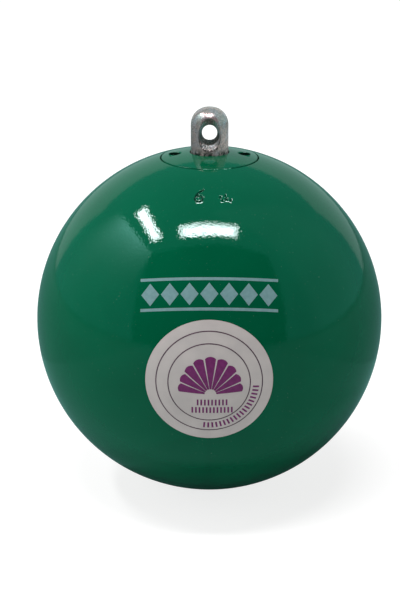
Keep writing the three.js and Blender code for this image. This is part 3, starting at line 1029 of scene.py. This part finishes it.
def blade(turn, reach, half_turn):
    """Fan blade with straight sides and a rounded end."""
    ends = [(FAN_INNER, half_turn), (FAN_INNER, -half_turn)]
    shares = np.linspace(-1, 1, BLADE_END_POINTS)
    ends += [(reach * (1 - BLADE_ROUNDING * share**2), half_turn * share) for share in shares]
    x, y = FAN_BASE
    outline = [(x + r * math.cos(turn + side), y + r * math.sin(turn + side)) for r, side in ends]
    return divided(outline, BLADE_STEP)


def fan():
    """Blades spread evenly, longest upwards."""
    low, high = np.radians(FAN_TURNS)
    pitch = (high - low) / (FAN_BLADES - 1)
    blades = []
    for turn in np.linspace(low, high, FAN_BLADES):
        reach = FAN_REACH[0] + (FAN_REACH[1] - FAN_REACH[0]) * math.sin(turn) ** 2
        blades.append([blade(turn, reach, pitch / 2 * BLADE_SHARE)])
    return blades


def tick(turn):
    """Short mark that points to the label's middle."""
    c, s = math.cos(turn), math.sin(turn)
    (inner, outer), w = TICK_RADII, TICK_HALF_WIDTH
    outline = [(inner, -w), (outer, -w), (outer, w), (inner, w)]
    return [(x * c - y * s, x * s + y * c) for x, y in outline]


def dash_row(middle, height, count, width):
    """Upright dashes side by side."""
    w, h = DASH_HALF_WIDTH, DASH_HALF_HEIGHT
    corners = ((-w, -h), (w, -h), (w, h), (-w, h))
    places = middle + np.linspace(-0.5, 0.5, count) * (width - 2 * w)
    return [[[(x + across, height + up) for across, up in corners]] for x in places]


def make_print(name, shapes, place, under, over, finish, spacing=FILL_SPACING):
    """Film or ink that lies on the ball."""
    points, faces, normals = film(shapes, place, under, over, spacing)
    return make_piece(name, points, faces, "head", finish, normals)


def make_label():
    """Round film with a plain fan, rows of dashes, an arc of ticks and two thin rings."""
    disc = [[circle(LABEL_RADIUS, LABEL_TURNS)]]
    label = make_print("pale_label", disc, LABEL_PLACE, LABEL_UNDER, LABEL_OVER, FILM, LABEL_SPACING)
    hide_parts("round_label")
    shapes = fan() + [[tick(turn)] for turn in np.radians(np.arange(*TICK_TURNS, TICK_PITCH))]
    for row in DASH_ROWS:
        shapes += dash_row(*row)
    make_print("label_artwork", shapes, LABEL_PLACE, INK_UNDER, INK_OVER, PURPLE)
    half = RING_WIDTH / 2
    rings = [[circle(radius + half, RING_TURNS), circle(radius - half, RING_TURNS)] for radius in RING_RADII]
    make_print("label_rings", rings, LABEL_PLACE, INK_UNDER, INK_OVER, LINE)


def make_marking():
    """Printed band on the ball: two rules with a row of lozenges between them."""
    w, h = MARKING_HALF_WIDTH, MARKING_HALF_HEIGHT
    shapes = []
    for y in (-h, h - RULE_HEIGHT):
        bottom = [(x, y) for x in spaced(-w, w, RULE_STEP)]
        top = [(x, y + RULE_HEIGHT) for x in spaced(w, -w, RULE_STEP)]
        shapes.append([bottom + top])
    pitch = 2 * w / LOZENGE_COUNT
    side, tip = pitch * LOZENGE_SHARE, h - LOZENGE_GAP
    for i in range(LOZENGE_COUNT):
        x = -w + pitch * (i + 0.5)
        outline = [(x + side, 0), (x, tip), (x - side, 0), (x, -tip)]
        shapes.append([divided(outline, LOZENGE_STEP)])
    make_print("pale_band", shapes, MARKING_PLACE, MARKING_UNDER, MARKING_OVER, PALE)


ball = make_ball()
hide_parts("head_body")
plug = make_plug()
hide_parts("swivel_plug")
make_bridge()
eye = make_eye()
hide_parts("swivel_spindle")
make_label()
make_marking()

# Inner pieces keep their solids and get a finish each
GROUND = inner_metal("ground_steel", (0.55, 0.56, 0.57, 1), (0.66, 0.67, 0.68, 1), 0.16, 0.3)
ZINC = inner_metal("zinc_steel", (0.5, 0.52, 0.55, 1), (0.6, 0.62, 0.64, 1), 0.34, 0.9)
OXIDE = inner_metal("oxide_steel", (0.04, 0.04, 0.045, 1), (0.08, 0.08, 0.085, 1), 0.45, 0.7)
BRONZE = inner_metal("bronze", (0.36, 0.18, 0.07, 1), (0.44, 0.23, 0.1, 1), 0.34, 0.6)
BRASS = inner_metal("cage_brass", (0.56, 0.38, 0.12, 1), (0.66, 0.46, 0.16, 1), 0.3, 0.6)
LEAD = inner_metal("lead", (0.15, 0.16, 0.18, 1), (0.2, 0.21, 0.23, 1), 0.6, 1.2)
RUBBER = inner_rubber("black_rubber")
INNER = {
    "bearing_upper_race": GROUND,
    "bearing_lower_race": GROUND,
    "nut_washer": ZINC,
    "split_pin": ZINC,
    "slotted_nut": OXIDE,
    "slug_retainer": OXIDE,
    "spindle_bush": BRONZE,
    "ball_cage": BRASS,
    "balance_slug": LEAD,
    "dust_seal": RUBBER,
}
INNER.update({name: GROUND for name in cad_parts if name.startswith("bearing_ball")})
for name, finish in INNER.items():
    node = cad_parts[name]
    node.data.materials.clear()
    node.data.materials.append(finish)


# Studio: a pale floor and two long soft lamps overhead
LAMP_HEIGHT = 1600
LAMP_RADIANCE = 17.5
LAMPS = (
    # name, centre to the right, centre to the back, width, depth (shares of the height), turn
    ("lamp_front", -0.01, -0.222, 0.6, 0.165, 0),
    ("lamp_front_core", -0.005, -0.24, 0.5, 0.1, 0),
    ("lamp_left", -0.629, 0.062, 0.13, 0.6, 10),
    ("lamp_left_core", -0.635, 0.062, 0.075, 0.52, 10),
)
LAMP_STEP = 10
FLOOR_RADIUS = 3000
FLOOR_TURNS = 96
FLOOR_DROP = 0.2
FLOOR_SHADE = (0.3, 0.3, 0.3, 1)
FLOOR_GLOW = {"Is Camera Ray": 0.78, "Is Transmission Ray": 0.78, "Is Diffuse Ray": 0.8}
FILL_TO_LEFT = (0.9, -0.9, 0.47, 0.86)
FILL_IN_FRONT = 0.1
FILL_AT_SIDES = (0.55, 1, 0.52, 3.6)

# The room that gloss sees: a table and the floor round it
MIRRORED_TABLE_SHADE = (0.09, 0.215, 0.2, 1)
MIRRORED_FAR_SHADE = (0.07, 0.165, 0.155, 1)
MIRRORED_END_SHADE = (0.11, 0.255, 0.24, 1)
END_REACH = (160, 900)
TABLE_HALF_WIDTH = 160
TABLE_SPREAD = 0.77
TABLE_BLUR = 1.05

# The room that gloss sees: its walls, with widths and heights at a distance of 1
WALL_SHADE = (0.09, 0.33, 0.31, 1)
BACKDROP_SHADE = (0.36, 0.56, 0.53, 1)
BACKDROP_HEIGHT = 0.7
BACKDROP_BLURS = ((-0.02, 0.02), (-0.01, 0.01))
OPENING_SHADE = (0.01, 0.01, 0.01, 1)
OPENING_HALF_WIDTH = 1.2
OPENING_SPREAD = 0.23
OPENING_HEIGHT = 2.4
OPENING_BLURS = ((-0.012, 0.008), (-0.02, 0.02))
GLOW_SHADE = (1.6, 3.3, 3.15, 1)
GLOW_EDGE = (-1.213, -0.31)
GLOW_FADE = 0.24
GLOW_START = 0.015
RIGHT_WALL_LIGHT = 0.03

# Light on those walls, between radians to the right of the front
LEFT_TURNS = ((-1.05, -1.09), (-2.25, -1.8))
LEFT_RISE = (-1.05, -1.5, 0.35, 1)
RIGHT_TURNS = ((1.15, 1.4), (2.3, 2.0))


def make_lamps():
    """The long lamps, each with a brighter core of its own just below it."""
    for step, (name, x, y, width, depth, turn) in enumerate(LAMPS):
        data = bpy.data.lights.new(name, "AREA")
        data.shape = "RECTANGLE"
        data.size = width * LAMP_HEIGHT * MM
        data.size_y = depth * LAMP_HEIGHT * MM
        data.energy = LAMP_RADIANCE * math.pi * data.size * data.size_y
        lamp = bpy.data.objects.new(name, data)
        height = LAMP_HEIGHT - step * LAMP_STEP
        lamp.location = Vector((x * height, y * height, height + CENTRE_Z)) * MM
        lamp.rotation_euler = (0, 0, math.radians(turn))
        bpy.context.scene.collection.objects.link(lamp)


def mirrored_floor(nodes):
    """What gloss sees below: a table that widens to the front, and a darker floor, paler far off."""
    place = nodes.node("ShaderNodeTexCoord").outputs["Object"]
    x, y, _ = nodes.node("ShaderNodeSeparateXYZ", {0: place}).outputs
    past = nodes.sum((nodes.maths("ABSOLUTE", x), 1), (y, TABLE_SPREAD))
    far = nodes.soft(past, TABLE_HALF_WIDTH * MM, TABLE_BLUR * TABLE_HALF_WIDTH * MM)
    end = nodes.soft(nodes.maths("MAXIMUM", x, y), END_REACH[0] * MM, END_REACH[1] * MM)
    room = nodes.blend(end, MIRRORED_FAR_SHADE, MIRRORED_END_SHADE)
    return nodes.blend(far, MIRRORED_TABLE_SHADE, room)


def floor_material():
    """White to the camera apart from the object's shadow."""
    material = bpy.data.materials.new("floor")
    material.use_nodes = True
    material.node_tree.nodes.clear()
    nodes = Nodes(material.node_tree)
    rays = nodes.node("ShaderNodeLightPath").outputs
    glow = nodes.sum(*[(rays[ray], weight) for ray, weight in FLOOR_GLOW.items()])
    shade = nodes.blend(rays["Is Glossy Ray"], FLOOR_SHADE, mirrored_floor(nodes))
    paint = nodes.node("ShaderNodeBsdfDiffuse", {"Color": shade}).outputs[0]
    light = nodes.node("ShaderNodeEmission", {"Strength": glow}).outputs[0]
    both = nodes.node("ShaderNodeAddShader", {0: paint, 1: light}).outputs[0]
    nodes.node("ShaderNodeOutputMaterial", {"Surface": both})
    return material


def make_floor():
    """A wide disc just below the object."""
    mesh = bpy.data.meshes.new("floor")
    rim = [Vector((x, y, 0)) * MM for x, y in circle(FLOOR_RADIUS, FLOOR_TURNS)]
    mesh.from_pydata([*rim, Vector()], [], tip_faces(list(range(FLOOR_TURNS)), FLOOR_TURNS))
    mesh.materials.append(floor_material())
    floor = bpy.data.objects.new("floor", mesh)
    floor.location.z = -FLOOR_DROP * MM
    bpy.context.scene.collection.objects.link(floor)


def wall_glow(nodes, x, y, z):
    """Lamp light on the left wall, brightest along the wall's upper edge, and a little on the right."""
    # drop is how far a wall lies below that edge
    drop = nodes.sum((x, GLOW_EDGE[0]), (y, GLOW_EDGE[1]), (z, -1))
    fade = nodes.maths("EXPONENT", nodes.maths("MULTIPLY", drop, -1 / GLOW_FADE))
    turn = nodes.maths("ARCTAN2", x, nodes.maths("MULTIPLY", y, -1))
    spread = nodes.product(nodes.soft(turn, *LEFT_RISE), *[nodes.soft(turn, *ends) for ends in LEFT_TURNS])
    left = nodes.product(spread, fade, nodes.soft(drop, 0, GLOW_START))
    right = nodes.product(*[nodes.soft(turn, *ends) for ends in RIGHT_TURNS])
    return nodes.maths("MULTIPLY_ADD", right, RIGHT_WALL_LIGHT, left)


def room_shares(nodes, y, z, side):
    """Shares that the dark opening in front and the paler wall behind take of each direction."""
    sides, top = OPENING_BLURS
    opening = nodes.product(
        nodes.soft(nodes.sum((y, -OPENING_HALF_WIDTH), (z, OPENING_SPREAD), (side, -1)), *sides),
        nodes.soft(nodes.sum((y, -OPENING_HEIGHT), (z, -1)), *top),
    )
    sides, top = BACKDROP_BLURS
    backdrop = nodes.product(
        nodes.soft(nodes.sum((y, 1), (side, -1)), *sides),
        nodes.soft(nodes.sum((y, BACKDROP_HEIGHT), (z, -1)), *top),
    )
    return opening, backdrop


def make_surround():
    """World: white to the camera, a plain room with a dark opening to gloss, soft light to the rest."""
    world = bpy.data.worlds.new("surround")
    bpy.context.scene.world = world
    world.use_nodes = True
    nodes = Nodes(world.node_tree)
    way = nodes.node("ShaderNodeTexCoord").outputs["Generated"]
    x, y, z = nodes.node("ShaderNodeSeparateXYZ", {0: way}).outputs
    side = nodes.maths("ABSOLUTE", x)
    opening, backdrop = room_shares(nodes, y, z, side)
    room = nodes.blend(backdrop, WALL_SHADE, BACKDROP_SHADE)
    room = nodes.blend(opening, room, OPENING_SHADE)
    room = nodes.blend(wall_glow(nodes, x, y, z), room, GLOW_SHADE, blend_type="ADD")
    # soft light on the object itself: more from the left and from the sides, little from the opening
    fill = nodes.product(
        nodes.soft(x, *FILL_TO_LEFT),
        nodes.soft(opening, 0, 1, 1, FILL_IN_FRONT),
        nodes.soft(side, *FILL_AT_SIDES),
    )
    rays = nodes.node("ShaderNodeLightPath").outputs
    shade = nodes.blend(rays["Is Glossy Ray"], fill, room)
    white = nodes.maths("MAXIMUM", rays["Is Camera Ray"], rays["Is Transmission Ray"])
    shade = nodes.blend(white, shade, (1, 1, 1, 1))
    nodes.feed(world.node_tree.nodes["Background"].inputs["Color"], shade)


make_lamps()
make_floor()
make_surround()
bpy.context.scene.view_settings.view_transform = "Standard"
